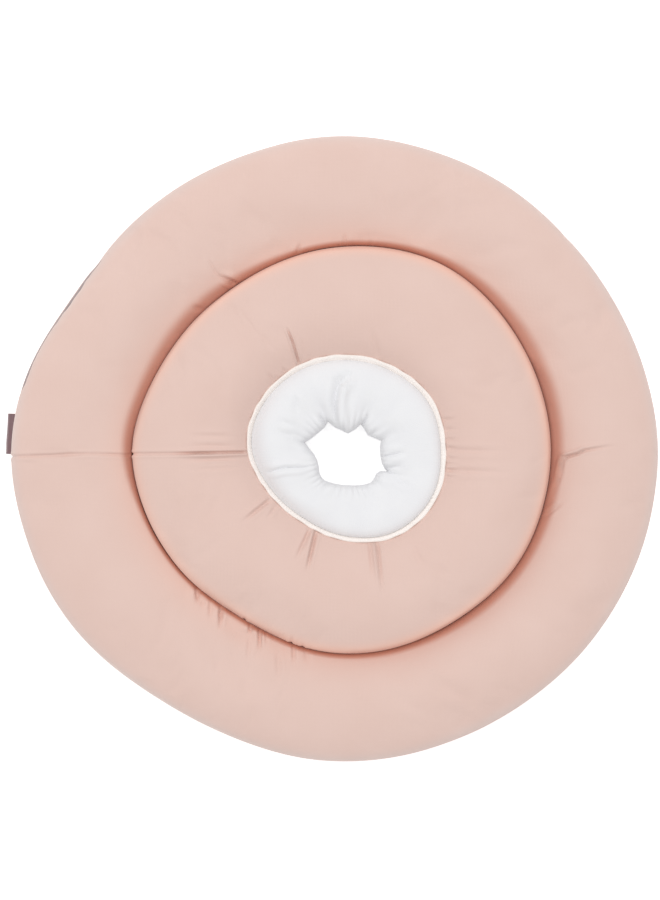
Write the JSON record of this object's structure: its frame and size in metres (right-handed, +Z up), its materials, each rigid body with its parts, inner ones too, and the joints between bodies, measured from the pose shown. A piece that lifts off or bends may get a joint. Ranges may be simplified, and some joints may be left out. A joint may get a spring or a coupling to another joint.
{
  "type": "soft recovery cone",
  "caption": "Stuffed fabric recovery collar lying flat, with padded rings joined by a stitched channel, a bound neck edge and a gathered cuff.",
  "frame": {"origin": "on the floor, under the middle of the cone's box as it lies flat", "axes": "+Z up through the neck opening, +X to the right in the picture, away from the label, and +Y to the picture's top"},
  "size_m": [0.3458, 0.3298, 0.0379],
  "materials": {
    "cover_cloth": "matte woven, dusty pink",
    "neck_cloth": "matte brushed knit, off-white",
    "label_cloth": "smooth woven tape, mauve-brown"
  },
  "bodies": {
    "root": {"outer_ring": "cover_cloth", "inner_ring": "cover_cloth", "channel_seam": "cover_cloth", "neck_binding": "neck_cloth", "neck_cuff": "neck_cloth", "label_tab": "label_cloth"}
  },
  "joints": []
}
